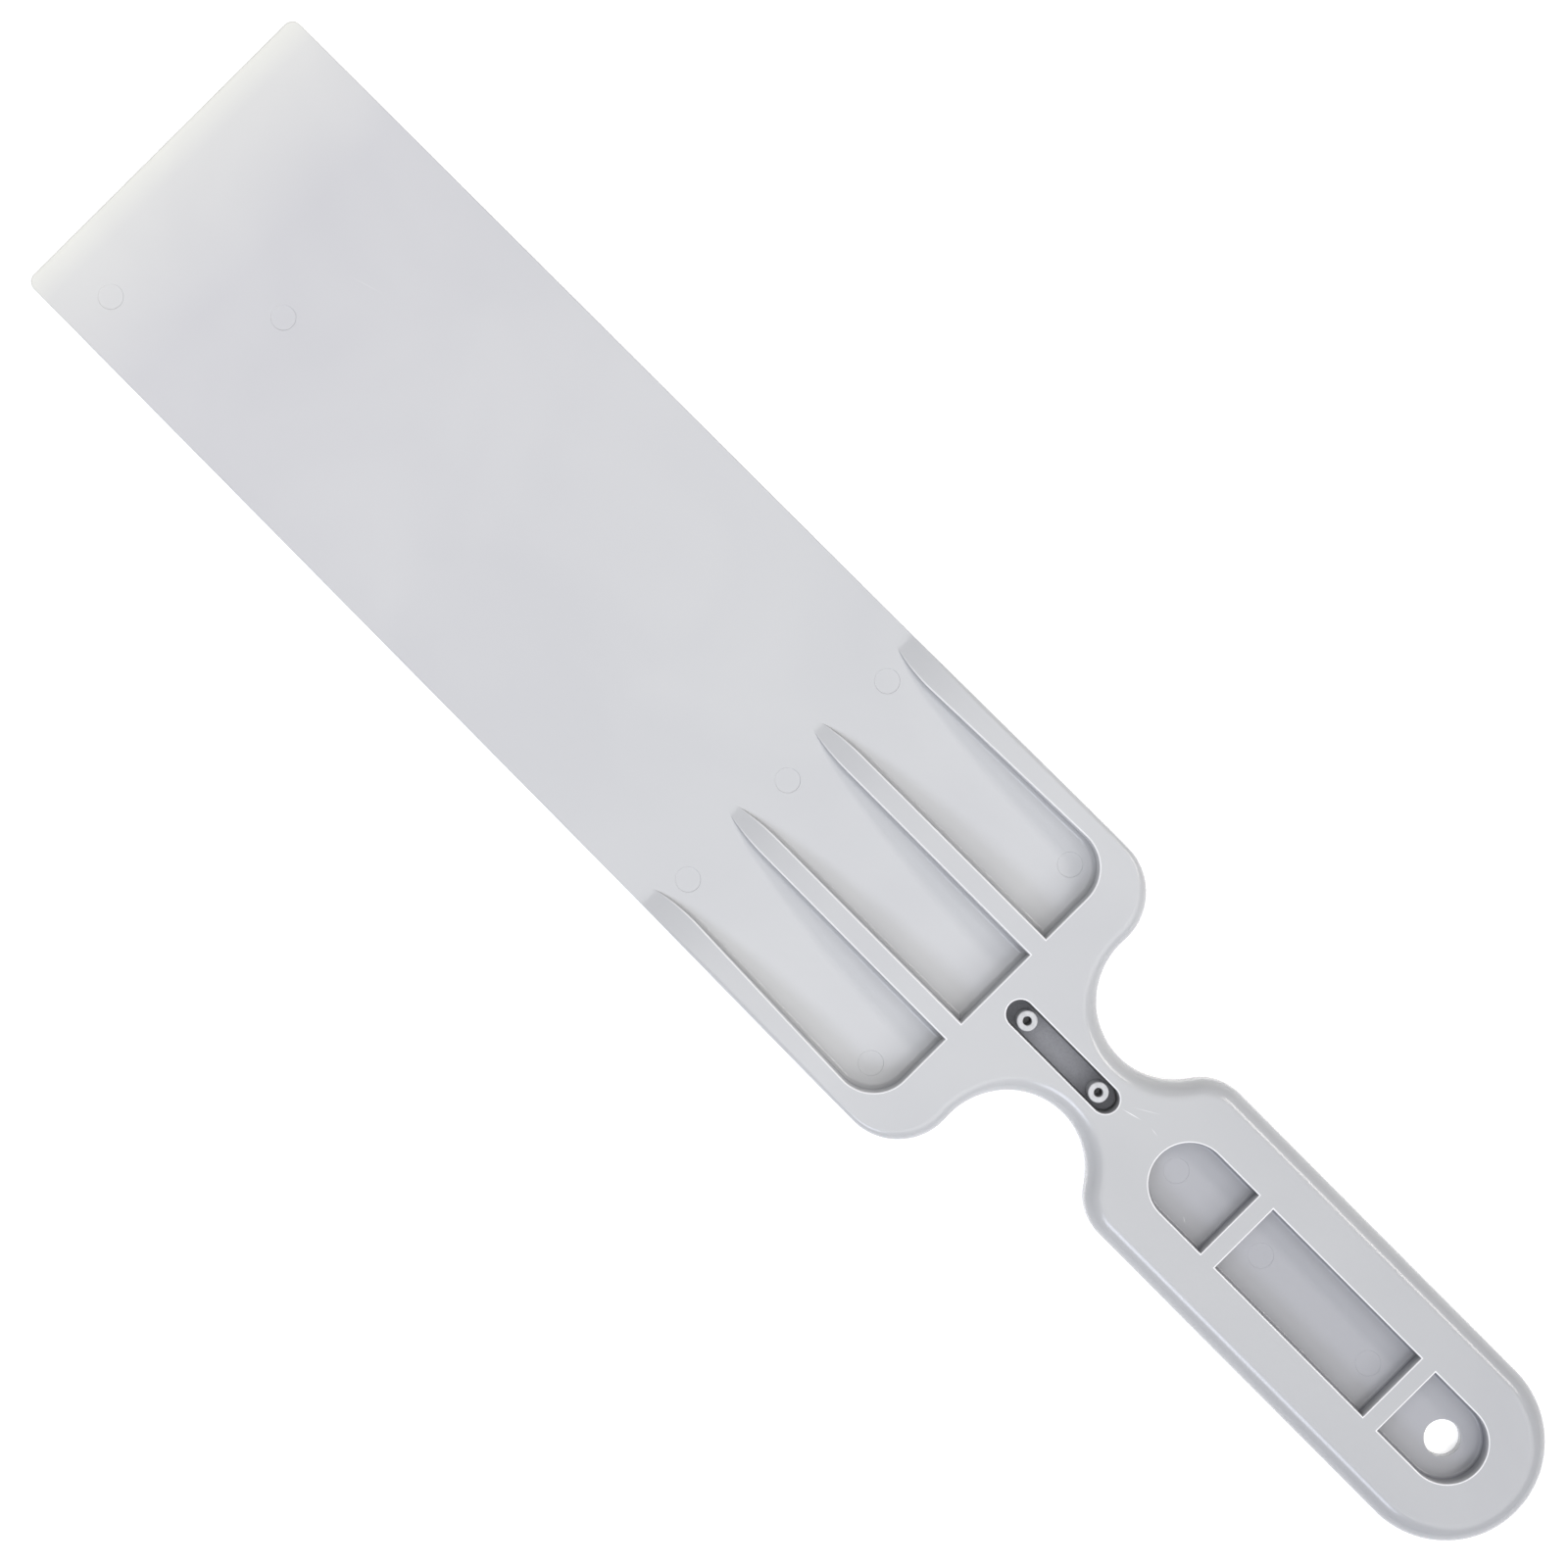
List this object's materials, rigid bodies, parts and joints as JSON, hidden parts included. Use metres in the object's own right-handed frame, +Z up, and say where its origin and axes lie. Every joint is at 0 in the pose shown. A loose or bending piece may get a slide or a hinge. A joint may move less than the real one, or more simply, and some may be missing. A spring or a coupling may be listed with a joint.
{
  "type": "long-reach flexible paddle",
  "caption": "Pale plastic hand paddle: a long thin flexible blade, a ribbed root, a waisted neck with a dark strip and hollow studs, and a cored handle.",
  "frame": {"origin": "on the flat back, under the middle of the overall length, on the centre line", "axes": "+X along the length from the blade tip to the handle end, +Y across the blade, +Z up out of the flat back to the ribbed side"},
  "size_m": [0.5184, 0.1038, 0.014],
  "materials": {
    "pale_moulding": "satin-gloss moulded, slightly translucent, pale cool grey",
    "dark_strip": "matte moulded, mid grey",
    "pale_stud": "smooth moulded, off-white"
  },
  "bodies": {
    "root": {"paddle_body": "pale_moulding", "neck_strip": "dark_strip", "front_stud": "pale_stud", "rear_stud": "pale_stud"}
  },
  "joints": []
}
